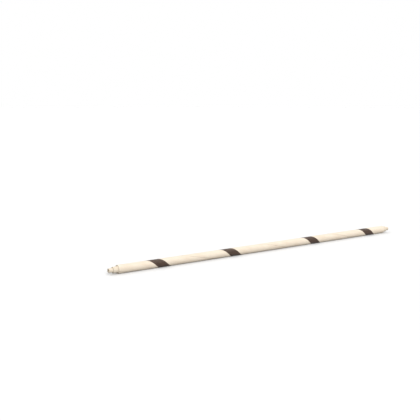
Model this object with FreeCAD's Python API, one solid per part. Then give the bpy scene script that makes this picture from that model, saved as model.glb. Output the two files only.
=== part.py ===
"""Paper drinking straw, wound from three plies and lying on its side.

Millimetres and degrees, +Z up. The straw lies along X, on a narrow flat at Z = 0,
and the origin is under its middle. Each ply is a paper strip wound in a helix, so its
edges meet in a butt seam that runs round the straw. The plies are glued face to face,
and each one stops short of the ply inside it, at both ends. Brown bands are printed
across the outer strip, nearly from one of its edges to the other.

Stations are measured along the straw from its -X tip. The helices are placed by where
they cross the shown side, a line along the straw at one angle about its axis.
"""
import FreeCAD, Part

import math
import os

# Length, bore and the wall of each ply
straw_length = 225.0
bore_diameter = 1.6
inner_wall = 0.45
middle_wall = 0.6
outer_wall = 0.65

# How far a ply's end lies behind the end of the ply inside it
middle_setback = 2.6
outer_setback = 3.0

# Butt seam between the turns of a wound strip, its gap measured round the straw
seam_pitch = 59.4
seam_gap = 0.3
seam_depth = 0.045
outer_seam_station = 58.7
seam_stagger = 19.8

# Printed bands. Their width is measured along the straw, their margin round it, and
# their stations are those of their centres, on the middle line of the outer strip
band_width = 8.0
band_pitch = 18.0
band_depth = 0.12
band_margin = 1.0
first_band_station = 33.6
short_band_step = 48.6
long_band_step = 69.3

# Flat where the soft paper wall bears on the ground
rest_flat_depth = 0.04

# Angle about +X of the line on which seam stations are given, from +Y towards +Z
shown_side = 165.0

# Longest stretch of a helix in one face, in turns, and how far a cutter overruns
turns_per_face = 1.0 / 3.0
overrun = 1.0

# Radii, from the inside out
bore_radius = bore_diameter / 2.0
inner_radius = bore_radius + inner_wall
middle_radius = inner_radius + middle_wall
outer_radius = middle_radius + outer_wall

# Stations of the outer ply's ends
outer_start = middle_setback + outer_setback
outer_end = straw_length - outer_start


def cylinder_patch(radius, corners):
    """Face and edges of a polygon of (angle, station) corners, rolled onto a cylinder.

    The cylinder is turned to put the line where its own angle starts over opposite the
    middle of the polygon.
    """
    angles = [angle for angle, _ in corners]
    start = (min(angles) + max(angles)) / 2.0 - math.pi
    turned = FreeCAD.Rotation(FreeCAD.Vector(0.0, 0.0, 1.0), math.degrees(start))
    surface = Part.Cylinder()
    surface.Radius = radius
    surface.rotate(FreeCAD.Placement(FreeCAD.Vector(), turned))
    points = [FreeCAD.Base.Vector2d(angle - start, along) for angle, along in corners]
    edges = [
        Part.Geom2d.Line2dSegment(point, following).toShape(surface)
        for point, following in zip(points, points[1:] + points[:1])
    ]
    return Part.Face(surface, Part.Wire(edges)), edges


def helical_block(inside, outside, corner, turns, pitch, across_turns, across_pitch):
    """Solid between two radii over a parallelogram of angle and station.

    The long sides start at corner, an (angle, station) pair, and run for so many turns
    at one pitch. The short sides run for across_turns at across_pitch.
    """
    count = math.ceil(turns / turns_per_face)
    angle, station = corner
    across = (2.0 * math.pi * across_turns, across_pitch)
    faces = []
    for index in range(count):
        near, far = (turns * step / count for step in (index, index + 1))
        left = [(angle + 2.0 * math.pi * t, station + pitch * t) for t in (near, far)]
        right = [(a + across[0], s + across[1]) for a, s in left]
        corners = [left[0], left[1], right[1], right[0]]
        inner_face, inner_edges = cylinder_patch(inside, corners)
        outer_face, outer_edges = cylinder_patch(outside, corners)
        faces += [inner_face, outer_face]
        # The sides in order: left edge, far end, right edge, near end
        walled = [True, index == count - 1, True, index == 0]
        for inner_edge, outer_edge, wall in zip(inner_edges, outer_edges, walled):
            if wall:
                rails = [Part.Wire([inner_edge]), Part.Wire([outer_edge])]
                faces += Part.makeLoft(rails, False, True).Faces
    shell = Part.makeShell(faces)
    shell.sewShape()
    return Part.makeSolid(shell)


def angle_on_seam(station, crossing):
    """Angle of a seam at a station, where it crosses the shown side at another."""
    return math.radians(shown_side) + 2.0 * math.pi * (station - crossing) / seam_pitch


def seam_cutter(radius, start, length, crossing):
    """Groove along the butt seam of a ply, past both of its ends."""
    low = start - overrun
    turns = (length + 2.0 * overrun) / seam_pitch
    gap_turns = seam_gap / (2.0 * math.pi * radius)
    corner = (angle_on_seam(low, crossing) - math.pi * gap_turns, low)
    floor = radius - seam_depth
    return helical_block(floor, radius + overrun, corner, turns, seam_pitch, gap_turns, 0.0)


def wound_ply(bore, radius, setback, crossing):
    """Tube of one wound strip, with its butt seam as a shallow groove."""
    length = straw_length - 2.0 * setback
    base = FreeCAD.Vector(0.0, 0.0, setback)
    tube = Part.makeCylinder(radius, length, base)
    tube = tube.cut(Part.makeCylinder(bore, length, base))
    return tube.cut(seam_cutter(radius, setback, length, crossing))


def band_turns():
    """Turns of a band's long sides, from seam to seam, and of its short ends.

    The long sides run at the band's own pitch and the ends at the seam's, so the sides
    gain on the seam by the difference of the pitches in each turn.
    """
    gain = seam_pitch - band_pitch
    bare = (seam_gap + 2.0 * band_margin) / (2.0 * math.pi * outer_radius)
    return seam_pitch * (1.0 - bare) / gain, band_width / gain


def band_reach():
    """Half of a band's length along the straw, from its centre to a corner."""
    turns, end_turns = band_turns()
    return (band_pitch * turns + seam_pitch * end_turns) / 2.0


def band_stations():
    """Stations of the centres of the bands that lie whole on the outer ply."""
    steps = (short_band_step, long_band_step)
    stations = []
    station = first_band_station
    while station + band_reach() < outer_end:
        if station - band_reach() > outer_start:
            stations.append(station)
        station += steps[(len(stations) + 1) % 2]
    return stations


def band_block(station, outside):
    """One printed band, down to the depth of its colour."""
    turns, end_turns = band_turns()
    centre = angle_on_seam(station, outer_seam_station + seam_pitch / 2.0)
    corner = (centre - math.pi * (turns + end_turns), station - band_reach())
    floor = outer_radius - band_depth
    end_pitch = seam_pitch * end_turns
    return helical_block(floor, outside, corner, turns, band_pitch, end_turns, end_pitch)


def rest_flat():
    """Cutter for the flat along the outer ply, on the side that faces -Y as it stands."""
    side = 2.0 * outer_radius
    corner = FreeCAD.Vector(-outer_radius, rest_flat_depth - outer_radius - side, -overrun)
    return Part.makeBox(side, side, straw_length + 2.0 * overrun, corner)


def laid_down(shape):
    """Turn the straw from +Z to +X and set its flat on the ground, centred."""
    turned = FreeCAD.Rotation(FreeCAD.Vector(1.0, 1.0, 1.0), 120.0)
    base = FreeCAD.Vector(-straw_length / 2.0, 0.0, outer_radius - rest_flat_depth)
    placed = shape.copy()
    placed.Placement = FreeCAD.Placement(base, turned)
    return placed


def make_inner_ply():
    crossing = outer_seam_station + 2.0 * seam_stagger
    return wound_ply(bore_radius, inner_radius, 0.0, crossing)


def make_middle_ply():
    crossing = outer_seam_station + seam_stagger
    return wound_ply(inner_radius, middle_radius, middle_setback, crossing)


def make_outer_ply(stations):
    ply = wound_ply(middle_radius, outer_radius, outer_start, outer_seam_station)
    pockets = [band_block(station, outer_radius + overrun) for station in stations]
    return ply.cut(pockets).cut(rest_flat())


def make_brown_bands(stations):
    bands = [band_block(station, outer_radius) for station in stations]
    return Part.makeCompound([band.cut(rest_flat()) for band in bands])


def main():
    stations = band_stations()
    nodes = {
        "inner_ply": make_inner_ply(),
        "middle_ply": make_middle_ply(),
        "outer_ply": make_outer_ply(stations),
        "brown_bands": make_brown_bands(stations),
    }
    os.makedirs("parts", exist_ok=True)
    for name, shape in nodes.items():
        placed = laid_down(shape)
        placed.exportStep(f"parts/{name}.step")
        print(name, len(placed.Solids), placed.isValid(), round(placed.Volume, 2))


main()
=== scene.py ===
"""Paper drinking straw: its wound plies, printed bands and finishes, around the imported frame.

Metres, +Z up. The straw lies along X with its flat on the floor. Three paper strips are
wound on each other, and each ply stops short of the ply inside it. The strips wind
right-handed about +X, so their butt seams are helices, and a lengthwise fibre follows
the same helix. Angles about the straw's axis run from +Y towards +Z, and stations are
counted along the straw from its -X tip.
"""
from __future__ import annotations

import logging
import math
from dataclasses import dataclass
from enum import Enum
from typing import Mapping, Optional, Sequence, Union

import bpy
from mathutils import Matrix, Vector

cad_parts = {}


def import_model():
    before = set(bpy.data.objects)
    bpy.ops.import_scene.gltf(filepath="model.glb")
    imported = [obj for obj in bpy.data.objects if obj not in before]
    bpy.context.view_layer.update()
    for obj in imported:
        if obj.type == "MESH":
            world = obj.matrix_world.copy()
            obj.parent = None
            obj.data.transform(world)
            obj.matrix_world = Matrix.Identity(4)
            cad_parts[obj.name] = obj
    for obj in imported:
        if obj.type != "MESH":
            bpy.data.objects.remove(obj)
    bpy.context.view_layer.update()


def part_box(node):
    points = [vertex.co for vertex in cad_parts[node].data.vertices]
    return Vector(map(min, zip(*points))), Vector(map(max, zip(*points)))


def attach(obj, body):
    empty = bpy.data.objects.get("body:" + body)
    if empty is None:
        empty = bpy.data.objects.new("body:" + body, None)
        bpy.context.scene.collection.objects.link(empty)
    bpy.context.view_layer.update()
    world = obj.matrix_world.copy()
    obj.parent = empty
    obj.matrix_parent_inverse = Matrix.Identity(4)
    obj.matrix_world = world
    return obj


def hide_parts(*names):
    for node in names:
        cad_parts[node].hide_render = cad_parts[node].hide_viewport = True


log = logging.getLogger("straw")

MM = 0.001
TURN = 2.0 * math.pi
SHARP_ANGLE = math.radians(50.0)

Colour = tuple[float, float, float, float]
Range = tuple[float, float]
Operand = Union["Value", float, int, str, bool, tuple, bpy.types.ID]

WHITE: Colour = (1.0, 1.0, 1.0, 1.0)


def srgb(red: int, green: int, blue: int) -> Colour:
    """Turn a display colour into the linear colour that a shader takes.

    Args:
        red: Red, 0 to 255.
        green: Green, 0 to 255.
        blue: Blue, 0 to 255.

    Returns:
        The linear colour with full alpha.
    """
    linear = [
        part / 12.92 if part <= 0.04045 else ((part + 0.055) / 1.055) ** 2.4
        for part in (red / 255.0, green / 255.0, blue / 255.0)
    ]
    return (linear[0], linear[1], linear[2], 1.0)


@dataclass(frozen=True)
class Grain:
    """An unevenness: its frequency, its octaves, and how strong the finer ones are."""

    scale: float
    detail: float
    roughness: float = 0.5


# The paper's fibres, and how many times longer they are than wide
FIBRES = Grain(7000.0, 3.0, 0.6)
FIBRE_STRETCH = 9.0


class Value:
    """An output socket that takes part in Python arithmetic."""

    def __init__(self, graph: "Graph", socket: bpy.types.NodeSocket) -> None:
        """Wrap a socket of a graph."""
        self.graph = graph
        self.socket = socket

    def __add__(self, other: Operand) -> "Value":
        """Sum."""
        return self.graph.math("ADD", self, other)

    def __radd__(self, other: Operand) -> "Value":
        """Sum, reflected."""
        return self.graph.math("ADD", other, self)

    def __sub__(self, other: Operand) -> "Value":
        """Difference."""
        return self.graph.math("SUBTRACT", self, other)

    def __rsub__(self, other: Operand) -> "Value":
        """Difference, reflected."""
        return self.graph.math("SUBTRACT", other, self)

    def __mul__(self, other: Operand) -> "Value":
        """Product."""
        return self.graph.math("MULTIPLY", self, other)

    def __rmul__(self, other: Operand) -> "Value":
        """Product, reflected."""
        return self.graph.math("MULTIPLY", other, self)

    def __truediv__(self, other: Operand) -> "Value":
        """Quotient."""
        return self.graph.math("DIVIDE", self, other)

    def __rtruediv__(self, other: Operand) -> "Value":
        """Quotient, reflected."""
        return self.graph.math("DIVIDE", other, self)

    def __neg__(self) -> "Value":
        """Opposite."""
        return self.graph.math("MULTIPLY", self, -1.0)

    def clamped(self) -> "Value":
        """The value kept between 0 and 1."""
        return self.graph.node("ShaderNodeClamp", {}, {"Value": self})


class Graph:
    """A node tree that is written as expressions, for shaders and for geometry."""

    def __init__(self, tree: bpy.types.NodeTree) -> None:
        """Start with an empty tree."""
        self.tree = tree
        tree.nodes.clear()

    def add(
        self,
        kind: str,
        settings: Optional[Mapping[str, object]] = None,
        sockets: Optional[Mapping[Union[str, int], Operand]] = None,
    ) -> bpy.types.Node:
        """Add a node, with its settings set before its sockets.

        Args:
            kind: The node's type name.
            settings: Its properties; "stops" holds a ramp's (position, colour) pairs.
            sockets: Values or links of its sockets, by index, identifier or name.

        Returns:
            The node.
        """
        made = self.tree.nodes.new(kind)
        for name, setting in (settings or {}).items():
            if name == "stops":
                self._set_stops(made.color_ramp, setting)
            else:
                setattr(made, name, setting)
        for key, operand in (sockets or {}).items():
            socket = self._socket(made, key)
            if isinstance(operand, Value):
                self.tree.links.new(operand.socket, socket)
            else:
                socket.default_value = operand
        return made

    def node(
        self,
        kind: str,
        settings: Optional[Mapping[str, object]] = None,
        sockets: Optional[Mapping[Union[str, int], Operand]] = None,
        output: Union[str, int] = 0,
    ) -> Value:
        """Add a node as add does, and return one of its outputs as a value."""
        made = self.add(kind, settings, sockets)
        return Value(self, made.outputs[output])

    def math(self, operation: str, *operands: Operand) -> Value:
        """Add a Math node.

        Args:
            operation: The node's operation.
            operands: One to three values or numbers.

        Returns:
            Its result.
        """
        return self.node("ShaderNodeMath", {"operation": operation}, dict(enumerate(operands)))

    def parts(self, vector: Operand) -> tuple[Value, Value, Value]:
        """The three components of a vector."""
        split = self.add("ShaderNodeSeparateXYZ", {}, {"Vector": vector})
        return tuple(Value(self, output) for output in split.outputs)

    def vector(self, x: Operand, y: Operand, z: Operand) -> Value:
        """A vector of three components."""
        return self.node("ShaderNodeCombineXYZ", {}, {"X": x, "Y": y, "Z": z})

    def noise(self, vector: Operand, grain: Grain) -> Value:
        """Fractal noise about 0.5.

        Args:
            vector: Where it is read.
            grain: How fine and how rough it is.

        Returns:
            The noise value.
        """
        inputs = {
            "Vector": vector,
            "Scale": grain.scale,
            "Detail": grain.detail,
            "Roughness": grain.roughness,
        }
        return self.node("ShaderNodeTexNoise", {}, inputs)

    def ramp(self, factor: Operand, low: float, high: float) -> Value:
        """A smooth step from 0 at low to 1 at high."""
        inputs = {"Value": factor, "From Min": low, "From Max": high}
        return self.node("ShaderNodeMapRange", {"interpolation_type": "SMOOTHSTEP"}, inputs)

    def line(self, off: Value, width: float, core: float) -> Value:
        """A soft-edged line, 1 in its core and 0 outside it.

        Args:
            off: Signed distance from the middle of the line.
            width: Half of its width, soft edge and all.
            core: The share of that which is full.

        Returns:
            The mask.
        """
        return 1.0 - self.ramp(self.math("ABSOLUTE", off), core * width, width)

    def blend(self, factor: Operand, first: Operand, second: Operand) -> Value:
        """Mix two colours.

        Args:
            factor: 0 for the first colour, 1 for the second.
            first: A colour.
            second: A colour.

        Returns:
            The mixed colour.
        """
        inputs = {"Factor_Float": factor, "A_Color": first, "B_Color": second}
        made = self.add("ShaderNodeMix", {"data_type": "RGBA"}, inputs)
        return Value(self, next(s for s in made.outputs if s.identifier == "Result_Color"))

    @staticmethod
    def _set_stops(ramp: bpy.types.ColorRamp, stops: Sequence[tuple[float, Colour]]) -> None:
        """Give a colour ramp its stops, in order.

        Args:
            ramp: A new ramp, which has two stops.
            stops: At least two (position, colour) pairs.
        """
        while len(ramp.elements) < len(stops):
            ramp.elements.new(1.0)
        for element, (position, colour) in zip(ramp.elements, stops):
            element.position, element.color = position, colour

    @staticmethod
    def _socket(node: bpy.types.Node, key: Union[str, int]) -> bpy.types.NodeSocket:
        """Find an input socket of a node.

        Args:
            node: The node.
            key: The socket's index, identifier or name.

        Returns:
            The socket.
        """
        if isinstance(key, int):
            return node.inputs[key]
        named = [s for s in node.inputs if s.identifier == key]
        return named[0] if named else node.inputs[key]


class SurfaceGraph(Graph):
    """The shader tree of one material, in the straw's own coordinates."""

    def __init__(self, name: str) -> None:
        """Make a material and read the coordinates.

        Args:
            name: The material's name.
        """
        self.material = bpy.data.materials.new(name)
        self.material.use_nodes = True
        super().__init__(self.material.node_tree)
        self.place = self.node("ShaderNodeTexCoord", {}, {}, "Object")

    def strip_coordinates(self, sizes: StrawSizes, stretch: float) -> Value:
        """Coordinates in which a wound strip's length is one straight direction.

        The straw is untwisted by a turn for each pitch, so a pattern that is stretched
        along X follows the helix of the strip, with no join anywhere.

        Args:
            sizes: The straw's sizes, for the pitch of its strips and its axis.
            stretch: How many times longer a pattern is along the strip than across.

        Returns:
            The coordinates.
        """
        x, y, z = self.parts(self.place)
        height = z - sizes.axis_height
        turned = x * (TURN / sizes.seam_pitch)
        cosine, sine = self.math("COSINE", turned), self.math("SINE", turned)
        return self.vector(
            x / stretch, y * cosine + height * sine, height * cosine - y * sine
        )

    def bump(self, relief: Value, depth: float) -> Value:
        """The normal of a relief of 0 to 1 that is so many metres deep."""
        inputs = {"Strength": 1.0, "Distance": depth, "Height": relief}
        return self.node("ShaderNodeBump", {}, inputs)

    def finish(self, sockets: Mapping[str, Operand]) -> bpy.types.Material:
        """Close the tree with one principled shader.

        Args:
            sockets: The shader's values or links, by name.

        Returns:
            The material.
        """
        shader = self.node("ShaderNodeBsdfPrincipled", {}, sockets)
        self.add("ShaderNodeOutputMaterial", {}, {"Surface": shader})
        return self.material


class Seat(Enum):
    """What a socket of a geometry tree holds."""

    LENGTH = "NodeSocketFloat"
    COUNT = "NodeSocketInt"
    FINISH = "NodeSocketMaterial"


class ShapeGraph(Graph):
    """A Geometry Nodes tree with named inputs for its sizes."""

    def __init__(self, name: str, sockets: Mapping[str, Seat]) -> None:
        """Make the tree, its inputs and its geometry output.

        Args:
            name: The tree's name.
            sockets: The kind of each input, by name.
        """
        super().__init__(bpy.data.node_groups.new(name, "GeometryNodeTree"))
        face = self.tree.interface
        face.new_socket("Geometry", in_out="OUTPUT", socket_type="NodeSocketGeometry")
        for title, seat in sockets.items():
            face.new_socket(title, in_out="INPUT", socket_type=seat.value)
        self.entry = self.add("NodeGroupInput")

    def size(self, name: str) -> Value:
        """A named input of the tree."""
        return Value(self, self.entry.outputs[name])

    def steps(self, across: Value, along: Value) -> tuple[Value, Value, Value]:
        """A flat sheet of quads to be rolled up.

        Args:
            across: Steps in its first direction.
            along: Steps in its second direction.

        Returns:
            The mesh, and the whole step that a vertex is on in each direction.
        """
        sockets = {
            "Size X": across,
            "Size Y": along,
            "Vertices X": across + 1.0,
            "Vertices Y": along + 1.0,
        }
        sheet = self.node("GeometryNodeMeshGrid", {}, sockets)
        x, y, _ = self.parts(self.node("GeometryNodeInputPosition"))
        return sheet, x + across * 0.5, y + along * 0.5

    def placed(self, mesh: Value, position: Value) -> Value:
        """Move the vertices of a mesh."""
        return self.node("GeometryNodeSetPosition", {}, {"Geometry": mesh, "Position": position})

    def seam_dip(self, away: Value) -> Value:
        """How far a strip's surface lies under its cylinder beside its butt seam.

        The strip's edges turn down a little over a soft shoulder, and the joint between
        them is a narrow slit.

        Args:
            away: Distance from the seam, round the straw.

        Returns:
            The depth.
        """
        reach = away / self.size("Shoulder Width")
        shoulder = self.size("Shoulder Depth") * self.math("EXPONENT", -(reach * reach))
        opening = (1.0 - away / self.size("Slit Width")).clamped()
        return shoulder + self.size("Slit Depth") * opening

    def close(self, mesh: Value, cut: Optional[Value] = None) -> bpy.types.NodeTree:
        """End the tree with Realize Instances and Set Material.

        Args:
            mesh: The finished shape.
            cut: Which faces are the cut ends, where the shape has any.

        Returns:
            The tree.
        """
        smooth = self.node("GeometryNodeSetShadeSmooth", {}, {"Geometry": mesh})
        real = self.node("GeometryNodeRealizeInstances", {}, {"Geometry": smooth})
        sockets = {"Geometry": real, "Material": self.size("Finish")}
        dressed = self.node("GeometryNodeSetMaterial", {}, sockets)
        if cut is not None:
            sockets = {"Geometry": dressed, "Selection": cut, "Material": self.size("Cut Finish")}
            dressed = self.node("GeometryNodeSetMaterial", {}, sockets)
        self.add("NodeGroupOutput", {}, {"Geometry": dressed})
        return self.tree


@dataclass(frozen=True)
class StrawSizes:
    """Sizes that the pieces share, as the part's source has them."""

    outer_radius: float = 2.5 * MM
    middle_radius: float = 1.85 * MM
    inner_radius: float = 1.25 * MM
    bore_radius: float = 0.8 * MM
    rest_flat: float = 0.04 * MM
    seam_pitch: float = 59.4 * MM
    seam_station: float = 58.7 * MM
    seam_stagger: float = 19.8 * MM
    seam_gap: float = 0.3 * MM
    shown_side: float = math.radians(165.0)
    shoulder_width: float = 0.42 * MM
    shoulder_depth: float = 0.075 * MM
    slit_width: float = 0.075 * MM
    slit_depth: float = 0.07 * MM

    @property
    def axis_height(self) -> float:
        """Height of the straw's axis over the floor."""
        return self.outer_radius - self.rest_flat

    @property
    def glued_radii(self) -> tuple[float, ...]:
        """Radii of the bore and of each ply, from the inside out."""
        return (self.bore_radius, self.inner_radius, self.middle_radius, self.outer_radius)

    def seam_sizes(self) -> dict[str, float]:
        """The named inputs that every tree with a seam takes."""
        return {
            "Pitch": self.seam_pitch,
            "Axis Height": self.axis_height,
            "Shoulder Width": self.shoulder_width,
            "Shoulder Depth": self.shoulder_depth,
            "Slit Width": self.slit_width,
            "Slit Depth": self.slit_depth,
        }


SEAM_SEATS: dict[str, Seat] = dict.fromkeys(StrawSizes().seam_sizes(), Seat.LENGTH)


@dataclass(frozen=True)
class WoundPaper:
    """Finish of the face of a wound paper strip: matt, with lengthwise fibres."""

    name: str
    body: Colour
    cloud: Colour
    fibre: Colour
    glue: Colour = srgb(120, 97, 74)
    glue_width: float = 0.15 * MM
    glue_core: float = 0.3
    glue_least: float = 0.2
    glue_patches: float = 0.4
    clouds: Grain = Grain(420.0, 3.0, 0.55)
    cloud_stretch: float = 3.0
    cloud_range: Range = (0.35, 0.7)
    tooth: Grain = Grain(9000.0, 4.0, 0.65)
    strand_range: Range = (0.60, 0.76)
    strand_strength: float = 0.55
    roughness: float = 0.56
    tooth_roughness: float = 0.16
    cloud_roughness: float = 0.14
    relief_tooth: float = 0.45
    relief_depth: float = 0.010 * MM

    def material(self, sizes: StrawSizes, seam_angle: float) -> bpy.types.Material:
        """Build the paper's material.

        Args:
            sizes: The straw's sizes, which turn the fibres along the strip.
            seam_angle: Angle of the ply's seam where X is 0.

        Returns:
            The material.
        """
        g = SurfaceGraph(self.name)
        strip = g.strip_coordinates(sizes, FIBRE_STRETCH)
        fibres = g.noise(strip, FIBRES)
        clouds = g.noise(g.strip_coordinates(sizes, self.cloud_stretch), self.clouds)
        tooth = g.noise(g.place, self.tooth)
        tone = g.blend(g.ramp(clouds, *self.cloud_range), self.body, self.cloud)
        strands = g.ramp(fibres, *self.strand_range) * self.strand_strength
        tone = g.blend(strands, tone, self.fibre)

        # A trace of glue darkens the butt seam, on its own side of the straw
        _, y, z = g.parts(strip)
        cosine, sine = math.cos(seam_angle), math.sin(seam_angle)
        same_side = g.math("GREATER_THAN", y * cosine + z * sine, 0.0)
        trace = g.line(z * cosine - y * sine, self.glue_width, self.glue_core) * same_side
        tone = g.blend(trace * (self.glue_least + clouds * self.glue_patches), tone, self.glue)

        rough = self.roughness + (tooth - 0.5) * self.tooth_roughness
        relief = tooth * self.relief_tooth + fibres * (1.0 - self.relief_tooth)
        return g.finish({
            "Base Color": tone,
            "Roughness": rough + (clouds - 0.5) * self.cloud_roughness,
            "Normal": g.bump(relief, self.relief_depth),
            "Specular IOR Level": 0.35,
            "Sheen Weight": 0.05,
        })


@dataclass(frozen=True)
class CutPaper:
    """Finish of a cut end: thin pale layers with open fibres, and dark lines where plies meet,
    partly glue and partly painted shade of the gaps between the plies.
    """

    name: str
    body: Colour
    deep: Colour
    # Colour of the lines at the bore's edge and where plies meet: partly glue, partly painted
    # shade of the gaps between plies
    glue_and_gap_shade: Colour
    fibres: Grain = Grain(5200.0, 4.0, 0.7)
    layer: float = 0.11 * MM
    layer_waver: float = 0.09 * MM
    layer_share: float = 0.55
    glue_and_gap_shade_width: float = 0.07 * MM
    glue_and_gap_shade_core: float = 0.3
    glue_and_gap_shade_waver: float = 0.05 * MM
    roughness: float = 0.82
    fibre_roughness: float = 0.2
    relief_fibres: float = 0.7
    relief_depth: float = 0.03 * MM

    def material(self, sizes: StrawSizes) -> bpy.types.Material:
        """Build the cut end's material.

        Args:
            sizes: The straw's sizes, which centre the layers on its axis.

        Returns:
            The material.
        """
        g = SurfaceGraph(self.name)
        _, y, z = g.parts(g.place)
        height = z - sizes.axis_height
        out = g.math("SQRT", y * y + height * height)
        ragged = g.noise(g.place, self.fibres)
        wavering = out + (ragged - 0.5) * self.layer_waver
        band = g.math("SINE", wavering * (TURN / self.layer)) * 0.5 + 0.5
        stops = [(0.0, self.deep), (1.0, self.body)]
        paleness = band * self.layer_share + ragged * (1.0 - self.layer_share)
        tone = g.node("ShaderNodeValToRGB", {"stops": stops}, {"Fac": paleness})

        # Dark lines at the bore's edge and where plies meet: partly glue, partly painted shade in
        # the gaps between the plies
        glue_and_gap_shade_radius = out + (ragged - 0.5) * self.glue_and_gap_shade_waver
        for radius in sizes.glued_radii:
            glue_and_gap_shade = g.line(glue_and_gap_shade_radius - radius, self.glue_and_gap_shade_width, self.glue_and_gap_shade_core)
            tone = g.blend(glue_and_gap_shade, tone, self.glue_and_gap_shade)

        relief = ragged * self.relief_fibres + band * (1.0 - self.relief_fibres)
        return g.finish({
            "Base Color": tone,
            "Roughness": self.roughness + (ragged - 0.5) * self.fibre_roughness,
            "Normal": g.bump(relief, self.relief_depth),
            "Specular IOR Level": 0.25,
        })


@dataclass(frozen=True)
class BandPrint:
    """Finish of the printed bands: a dark ink that leaves the paper's tooth showing."""

    name: str
    body: Colour
    thin: Colour
    bare: Colour = srgb(150, 132, 116)
    mottle: Grain = Grain(2600.0, 4.0, 0.6)
    wash: Grain = Grain(500.0, 2.0)
    mottle_share: float = 0.6
    lean_range: Range = (0.38, 0.68)
    lean_strength: float = 0.7
    pinhole_range: Range = (0.66, 0.74)
    pinhole_strength: float = 0.35
    roughness: float = 0.42
    mottle_roughness: float = 0.22
    fibre_roughness: float = 0.1
    relief_mottle: float = 0.4
    relief_depth: float = 0.007 * MM

    def material(self, sizes: StrawSizes) -> bpy.types.Material:
        """Build the print's material.

        Args:
            sizes: The straw's sizes, which turn the paper's fibres along the strip.

        Returns:
            The material.
        """
        g = SurfaceGraph(self.name)
        fibres = g.noise(g.strip_coordinates(sizes, FIBRE_STRETCH), FIBRES)
        mottle = g.noise(g.place, self.mottle)
        wash = g.noise(g.place, self.wash)
        cover = mottle * self.mottle_share + wash * (1.0 - self.mottle_share)
        lean = g.ramp(cover, *self.lean_range) * self.lean_strength
        tone = g.blend(lean, self.body, self.thin)
        pinholes = g.ramp((fibres + mottle) * 0.5, *self.pinhole_range)
        tone = g.blend(pinholes * self.pinhole_strength, tone, self.bare)

        rough = self.roughness + (mottle - 0.5) * self.mottle_roughness
        relief = mottle * self.relief_mottle + fibres * (1.0 - self.relief_mottle)
        return g.finish({
            "Base Color": tone,
            "Roughness": rough + (fibres - 0.5) * self.fibre_roughness,
            "Normal": g.bump(relief, self.relief_depth),
            "Specular IOR Level": 0.5,
            "Sheen Weight": 0.05,
            "Sheen Roughness": 0.5,
        })


@dataclass(frozen=True)
class StudioFloor:
    """Finish of the plain pale floor, which throws back less light than it shows."""

    name: str = "pale_floor"
    shade: Colour = (0.74, 0.74, 0.74, 1.0)
    bounce: Colour = (0.4, 0.4, 0.4, 1.0)

    def material(self) -> bpy.types.Material:
        """Build the floor's material.

        Returns:
            The material.
        """
        g = SurfaceGraph(self.name)
        seen = g.node("ShaderNodeLightPath", {}, {}, "Is Camera Ray")
        return g.finish({
            "Base Color": g.blend(seen, self.bounce, self.shade),
            "Roughness": 0.8,
            "Specular IOR Level": 0.1,
        })


def settled(piece: bpy.types.Object) -> bpy.types.Object:
    """Turn a piece's modifiers into a plain mesh.

    Args:
        piece: An object with modifiers.

    Returns:
        The same object, with the result as its mesh and no modifiers.
    """
    graph = bpy.context.evaluated_depsgraph_get()
    mesh = bpy.data.meshes.new_from_object(piece.evaluated_get(graph), depsgraph=graph)
    piece.modifiers.clear()
    piece.data = mesh
    mesh.set_sharp_from_angle(angle=SHARP_ANGLE)
    return piece


def shaped(name: str, tree: bpy.types.NodeTree, values: Mapping[str, object]) -> bpy.types.Object:
    """Make an object whose shape comes from a Geometry Nodes tree.

    Args:
        name: The piece's name.
        tree: The tree.
        values: The tree's inputs, by name.

    Returns:
        The object, with the tree as its modifier.
    """
    piece = bpy.data.objects.new(name, bpy.data.meshes.new(name))
    bpy.context.scene.collection.objects.link(piece)
    modifier = piece.modifiers.new("shape", "NODES")
    modifier.node_group = tree
    for item in tree.interface.items_tree:
        if item.item_type == "SOCKET" and item.in_out == "INPUT":
            modifier[item.identifier] = values[item.name]
    return piece


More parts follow.
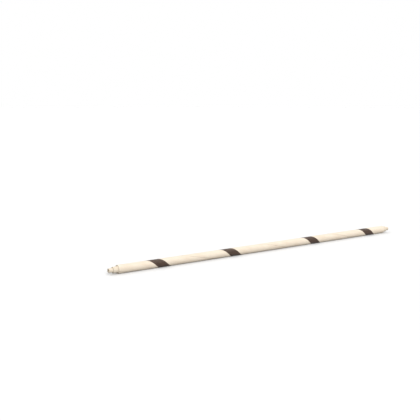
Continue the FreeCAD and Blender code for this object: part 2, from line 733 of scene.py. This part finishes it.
@dataclass(frozen=True)
class Winding:
    """How a strip is wound into a ply's tube: the shape that all three plies follow.

    A face belongs to a cut end where the X of its normal is past cut_facing. A rim is an
    edge that folds by more than rim_fold, in radians, with its normal past rim_facing.
    """

    wall_waver: Grain = Grain(160.0, 2.0)
    cut_waver: Grain = Grain(3800.0, 3.0)
    merge_distance: float = 0.001 * MM
    cut_facing: float = 0.7
    rim_facing: float = 0.4
    rim_fold: float = 1.0

    def make_tree(self) -> bpy.types.NodeTree:
        """Build the tree that rolls a sheet into a closed tube with a helical seam.

        One direction of the sheet goes round the straw. The other goes along the
        outside, over one cut end, back through the bore and over the other end. The
        columns turn with the seam and crowd together at it.

        Returns:
            The tree.
        """
        lengths = ("Start", "Length", "Radius", "Wall", "Seam Angle", "Lowest")
        lengths += ("Waver", "Raggedness", "Crowding")
        seats = {
            **dict.fromkeys(lengths, Seat.LENGTH),
            **dict.fromkeys(("Columns", "Rings", "End Rings"), Seat.COUNT),
            **dict.fromkeys(("Finish", "Cut Finish"), Seat.FINISH),
            **SEAM_SEATS,
        }
        g = ShapeGraph("wound_ply", seats)
        columns, rings, caps = g.size("Columns"), g.size("Rings"), g.size("End Rings")
        sheet, column, row = g.steps(columns, (rings + caps) * 2.0)

        # Shares of the way along the straw and in through the wall, row by row
        out = (row / rings).clamped() - ((row - rings - caps) / rings).clamped()
        inward = ((row - rings) / caps).clamped()
        inward = inward - ((row - rings * 2.0 - caps) / caps).clamped()
        along = g.size("Start") + g.size("Length") * out
        radius = g.size("Radius") - g.size("Wall") * inward

        even = column / columns * TURN
        crowded = even - g.size("Crowding") * g.math("SINE", even)
        away = g.math("MINIMUM", crowded, TURN - crowded) * radius
        angle = crowded + g.size("Seam Angle") + along / g.size("Pitch") * TURN

        cosine, sine = g.math("COSINE", angle), g.math("SINE", angle)
        round_straw = g.vector(along, radius * cosine, radius * sine)
        waver = (g.noise(round_straw, self.wall_waver) - 0.5) * g.size("Waver")
        radius = radius + (waver - g.seam_dip(away)) * (1.0 - inward)
        bulge = g.math("SINE", inward * math.pi) * g.size("Raggedness")
        along = along + (g.noise(round_straw, self.cut_waver) - 0.5) * bulge

        height = g.size("Axis Height") + radius * sine
        height = g.math("MAXIMUM", height, g.size("Lowest"))
        tube = g.placed(sheet, g.vector(along, radius * cosine, height))
        sockets = {"Geometry": tube, "Distance": self.merge_distance}
        tube = g.node("GeometryNodeMergeByDistance", {}, sockets)

        lengthwise, _, _ = g.parts(g.node("GeometryNodeInputNormal"))
        facing = g.math("ABSOLUTE", lengthwise)
        folded = g.math("GREATER_THAN", g.node("GeometryNodeInputMeshEdgeAngle"), self.rim_fold)
        rim = g.math("GREATER_THAN", facing, self.rim_facing) * folded
        tube = g.node(
            "GeometryNodeStoreNamedAttribute",
            {"data_type": "FLOAT", "domain": "EDGE"},
            {"Geometry": tube, "Name": "bevel_weight_edge", "Value": rim},
        )
        return g.close(tube, g.math("GREATER_THAN", facing, self.cut_facing))


@dataclass(frozen=True)
class Ply:
    """One paper tube of the straw.

    Its seam crosses the shown side at seam_station, and nothing of it lies under lowest.
    """

    node: str
    piece: str
    slot: str
    radius: float
    bore: float
    seam_station: float
    columns: int
    ring_spacing: float
    lowest: float
    face: WoundPaper
    edge: CutPaper
    sizes: StrawSizes
    end_rings: int = 6
    crowding: float = 0.8
    waver: float = 0.010 * MM
    raggedness: float = 0.05 * MM
    rim_rounding: float = 0.035 * MM
    rim_segments: int = 2

    def build(self, winding: bpy.types.NodeTree, tip: float) -> bpy.types.Object:
        """Wind the ply, round its rims and put it in its node's place.

        Args:
            winding: The tree that all plies share.
            tip: Where the straw's -X tip is.

        Returns:
            The finished piece.
        """
        low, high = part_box(self.node)
        length = high.x - low.x
        crossing = tip + self.seam_station
        seam_angle = self.sizes.shown_side - TURN * crossing / self.sizes.seam_pitch
        values = {
            "Start": low.x,
            "Length": length,
            "Radius": self.radius,
            "Wall": self.radius - self.bore,
            "Seam Angle": seam_angle,
            "Lowest": self.lowest,
            "Waver": self.waver,
            "Raggedness": self.raggedness,
            "Crowding": self.crowding,
            "Columns": self.columns,
            "Rings": round(length / self.ring_spacing),
            "End Rings": self.end_rings,
            "Finish": self.face.material(self.sizes, seam_angle),
            "Cut Finish": self.edge.material(self.sizes),
            **self.sizes.seam_sizes(),
        }
        ply = shaped(self.piece, winding, values)
        rims = ply.modifiers.new("rims", "BEVEL")
        rims.limit_method, rims.width = "WEIGHT", self.rim_rounding
        rims.segments = self.rim_segments
        settled(ply)
        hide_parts(self.node)
        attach(ply, "root")
        log.info("%s: %d faces", self.piece, len(ply.data.polygons))
        return ply


@dataclass(frozen=True)
class PrintedBands:
    """The dark bands across the outer strip, which wind steeper than its seam does.

    They stand a short and a long step apart by turns. The waver of their edges moves by
    waver_step for each step along a band, and by 1 for each step across it.
    """

    sizes: StrawSizes
    ink: BandPrint
    node: str = "brown_bands"
    piece: str = "brown_band_print"
    slot: str = "brown_print"
    width: float = 8.0 * MM
    pitch: float = 18.0 * MM
    margin: float = 1.0 * MM
    first_station: float = 33.6 * MM
    short_step: float = 48.6 * MM
    long_step: float = 69.3 * MM
    count: int = 4
    rise: float = 0.016 * MM
    thickness: float = 0.07 * MM
    edge_waver: float = 0.05 * MM
    waver_grain: Grain = Grain(1.0, 3.0)
    waver_step: float = 0.21
    long_steps: int = 150
    across_steps: int = 12

    def make_tree(self) -> bpy.types.NodeTree:
        """Build the tree that rolls one band on and repeats it along the seam.

        Returns:
            The tree.
        """
        lengths = ("Tip", "First Band", "Short Step", "Long Step", "Radius", "Band Pitch")
        lengths += ("Turns", "End Turns", "Corner Angle", "Bare", "Edge Waver")
        seats = {
            **dict.fromkeys(lengths, Seat.LENGTH),
            **dict.fromkeys(("Count", "Long Steps", "Across Steps"), Seat.COUNT),
            "Finish": Seat.FINISH,
            **SEAM_SEATS,
        }
        g = ShapeGraph("printed_bands", seats)
        sheet, far, side = g.steps(g.size("Long Steps"), g.size("Across Steps"))
        share = far / g.size("Long Steps")
        turned = share * g.size("Turns")
        across = side / g.size("Across Steps") * g.size("End Turns")

        # From one edge of the strip to the other, as an angle from the seam
        from_seam = (g.size("Bare") * 0.5 + share * (1.0 - g.size("Bare"))) * TURN
        away = g.math("MINIMUM", from_seam, TURN - from_seam) * g.size("Radius")
        radius = g.size("Radius") - g.seam_dip(away)
        angle = g.size("Corner Angle") + (turned + across) * TURN
        along = g.size("First Band") + turned * g.size("Band Pitch") + across * g.size("Pitch")
        cosine, sine = g.math("COSINE", angle), g.math("SINE", angle)
        unevenness = g.noise(g.vector(far * self.waver_step, side, 0.0), self.waver_grain)
        along = along + (unevenness - 0.5) * g.size("Edge Waver")
        band = g.placed(sheet, g.vector(along, radius * cosine, radius * sine))

        # Each copy is screwed along the seam, so its ends stay on the strip's edges
        index = g.node("GeometryNodeInputIndex")
        odd = g.math("FLOOR", (index + 1.0) * 0.5)
        pairs = g.math("FLOOR", index * 0.5)
        shift = odd * g.size("Short Step") + pairs * g.size("Long Step")
        sockets = {"Count": g.size("Count"), "Position": g.vector(shift, 0.0, 0.0)}
        spots = g.node("GeometryNodePoints", {}, sockets)
        # The points hold the shift as their X, which the copies read for their turn
        spot_x, _, _ = g.parts(g.node("GeometryNodeInputPosition"))
        spin = g.vector(spot_x / g.size("Pitch") * TURN, 0.0, 0.0)
        sockets = {"Points": spots, "Instance": band, "Rotation": spin}
        copies = g.node("GeometryNodeInstanceOnPoints", {}, sockets)
        real = g.node("GeometryNodeRealizeInstances", {}, {"Geometry": copies})
        x, y, z = g.parts(g.node("GeometryNodeInputPosition"))
        height = g.math("MAXIMUM", z + g.size("Axis Height"), 0.0)
        return g.close(g.placed(real, g.vector(x + g.size("Tip"), y, height)))

    def build(self, tip: float) -> bpy.types.Object:
        """Print the bands and put them in their node's place.

        Args:
            tip: Where the straw's -X tip is.

        Returns:
            The finished piece.
        """
        s = self.sizes
        gain = s.seam_pitch - self.pitch
        bare = (s.seam_gap + 2.0 * self.margin) / (TURN * s.outer_radius)
        turns = s.seam_pitch * (1.0 - bare) / gain
        end_turns = self.width / gain
        reach = (self.pitch * turns + s.seam_pitch * end_turns) / 2.0
        middle_line = s.seam_station + s.seam_pitch / 2.0
        centre = s.shown_side + TURN * (self.first_station - middle_line) / s.seam_pitch
        values = {
            "Tip": tip,
            "First Band": self.first_station - reach,
            "Short Step": self.short_step,
            "Long Step": self.long_step,
            "Count": self.count,
            "Radius": s.outer_radius + self.rise,
            "Band Pitch": self.pitch,
            "Turns": turns,
            "End Turns": end_turns,
            "Corner Angle": centre - math.pi * (turns + end_turns),
            "Bare": bare,
            "Edge Waver": self.edge_waver,
            "Long Steps": self.long_steps,
            "Across Steps": self.across_steps,
            "Finish": self.ink.material(s),
            **s.seam_sizes(),
        }
        bands = shaped(self.piece, self.make_tree(), values)
        body = bands.modifiers.new("body", "SOLIDIFY")
        body.thickness, body.offset = self.thickness, -1.0
        settled(bands)
        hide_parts(self.node)
        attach(bands, "root")
        log.info("%s: %d faces", self.piece, len(bands.data.polygons))
        return bands


@dataclass(frozen=True)
class Straw:
    """The whole straw: three plies and the print on the outermost."""

    sizes: StrawSizes = StrawSizes()
    # The cut ends' third colour is their dark line where plies meet: partly glue, partly painted
    # shade of the gaps
    edge: CutPaper = CutPaper(
        "cut_paper", srgb(222, 214, 198), srgb(202, 192, 174), srgb(118, 103, 86)
    )
    inner: WoundPaper = WoundPaper(
        "inner_paper", srgb(216, 203, 183), srgb(209, 193, 171), srgb(193, 173, 146)
    )
    middle: WoundPaper = WoundPaper(
        "middle_paper", srgb(218, 206, 187), srgb(212, 197, 175), srgb(194, 175, 149)
    )
    outer: WoundPaper = WoundPaper(
        "outer_paper", srgb(223, 211, 193), srgb(218, 203, 183), srgb(200, 182, 157)
    )
    ink: BandPrint = BandPrint("brown_print", srgb(62, 45, 35), srgb(92, 70, 55))

    def plies(self) -> list[Ply]:
        """List the plies.

        Returns:
            The plies, from the inside out.
        """
        s = self.sizes
        second_seam = s.seam_station + s.seam_stagger
        return [
            Ply(
                node="inner_ply",
                piece="inner_ply_tube",
                slot="inner_paper",
                radius=s.inner_radius,
                bore=s.bore_radius,
                seam_station=second_seam + s.seam_stagger,
                columns=72,
                ring_spacing=1.5 * MM,
                lowest=0.0,
                face=self.inner,
                edge=self.edge,
                sizes=s,
            ),
            Ply(
                node="middle_ply",
                piece="middle_ply_tube",
                slot="middle_paper",
                radius=s.middle_radius,
                bore=s.inner_radius,
                seam_station=second_seam,
                columns=84,
                ring_spacing=1.2 * MM,
                lowest=0.0,
                face=self.middle,
                edge=self.edge,
                sizes=s,
            ),
            Ply(
                node="outer_ply",
                piece="outer_ply_tube",
                slot="outer_paper",
                radius=s.outer_radius,
                bore=s.middle_radius,
                seam_station=s.seam_station,
                columns=108,
                ring_spacing=1.0 * MM,
                lowest=0.005 * MM,
                face=self.outer,
                edge=self.edge,
                sizes=s,
            ),
        ]

    def build(self) -> list[bpy.types.Object]:
        """Build every piece, in order.

        Returns:
            The pieces.
        """
        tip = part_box("inner_ply")[0].x
        winding = Winding().make_tree()
        pieces = [ply.build(winding, tip) for ply in self.plies()]
        pieces.append(PrintedBands(self.sizes, self.ink).build(tip))
        return pieces


@dataclass(frozen=True)
class SoftLight:
    """A far, wide light that falls evenly over the whole floor, its spread in degrees."""

    name: str
    comes_from: tuple[float, float, float]
    spread: float
    strength: float

    def build(self) -> bpy.types.Object:
        """Hang the light and turn it towards the straw.

        Returns:
            The light.
        """
        lamp = bpy.data.lights.new(self.name, "SUN")
        lamp.angle, lamp.energy = math.radians(self.spread), self.strength
        light = bpy.data.objects.new(self.name, lamp)
        light.location = self.comes_from
        light.rotation_euler = Vector(self.comes_from).to_track_quat("Z", "Y").to_euler()
        bpy.context.scene.collection.objects.link(light)
        return light


@dataclass(frozen=True)
class Studio:
    """The floor, the lights and the camera.

    The sky's light grows from horizon_share of its strength at the horizon to all of it
    at full_height, the sine of an angle over the horizon.
    """

    camera_place: tuple[float, float, float] = (-0.3018, -0.3680, 0.1017)
    camera_aim: tuple[float, float, float] = (0.5672, 0.8085, -0.1570)
    lens: float = 65.06
    sensor: float = 36.0
    nearest: float = 0.01
    farthest: float = 50.0
    floor_radius: float = 4.0
    floor_sides: int = 96
    sky: float = 1.05
    horizon_share: float = 0.25
    full_height: float = 0.9
    lights: tuple[SoftLight, ...] = (
        SoftLight("front", (-0.2, -0.8, 0.55), 30.0, 2.2),
        SoftLight("rear", (-0.1, 0.75, 0.66), 40.0, 0.7),
    )

    def build_camera(self) -> bpy.types.Object:
        """Place the camera at the photograph's viewing angle.

        Returns:
            The camera.
        """
        data = bpy.data.cameras.new("camera")
        data.lens, data.sensor_width = self.lens, self.sensor
        data.clip_start, data.clip_end = self.nearest, self.farthest
        camera = bpy.data.objects.new("camera", data)
        camera.location = self.camera_place
        camera.rotation_euler = Vector(self.camera_aim).to_track_quat("-Z", "Y").to_euler()
        bpy.context.scene.collection.objects.link(camera)
        bpy.context.scene.camera = camera
        return camera

    def build_floor(self) -> bpy.types.Object:
        """Lay the plain pale floor.

        Returns:
            The floor, which is no part of the straw.
        """
        mesh = bpy.data.meshes.new("floor")
        angles = [TURN * side / self.floor_sides for side in range(self.floor_sides)]
        reach = self.floor_radius
        rim = [(math.cos(angle) * reach, math.sin(angle) * reach, 0.0) for angle in angles]
        mesh.from_pydata(rim, [], [tuple(range(self.floor_sides))])
        mesh.materials.append(StudioFloor().material())
        floor = bpy.data.objects.new("floor", mesh)
        bpy.context.scene.collection.objects.link(floor)
        return floor

    def build_sky(self) -> None:
        """Surround the floor with a soft light, which the camera sees as plain white."""
        world = bpy.data.worlds.new("white_room")
        world.use_nodes = True
        g = Graph(world.node_tree)
        _, _, up = g.parts(g.node("ShaderNodeTexCoord", {}, {}, "Generated"))
        rise = g.ramp(up, 0.0, self.full_height) * (1.0 - self.horizon_share)
        strength = (rise + self.horizon_share) * self.sky
        glow = g.node("ShaderNodeBackground", {}, {"Color": WHITE, "Strength": strength})
        backdrop = g.node("ShaderNodeBackground", {}, {"Color": WHITE, "Strength": 1.0})
        seen = g.node("ShaderNodeLightPath", {}, {}, "Is Camera Ray")
        room = g.node("ShaderNodeMixShader", {}, {0: seen, 1: glow, 2: backdrop})
        g.add("ShaderNodeOutputWorld", {}, {"Surface": room})
        bpy.context.scene.world = world

    def build(self) -> None:
        """Build all of it."""
        self.build_camera()
        self.build_floor()
        self.build_sky()
        for light in self.lights:
            light.build()
        bpy.context.scene.view_settings.view_transform = "Standard"


def main() -> None:
    """Load the frame and build the studio and the straw around it."""
    logging.basicConfig(level=logging.INFO, format="%(name)s: %(message)s")
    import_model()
    Studio().build()
    for piece in Straw().build():
        low, high = piece.bound_box[0], piece.bound_box[6]
        log.info("%s from %s to %s", piece.name, tuple(low), tuple(high))


if __name__ == "__main__":
    main()
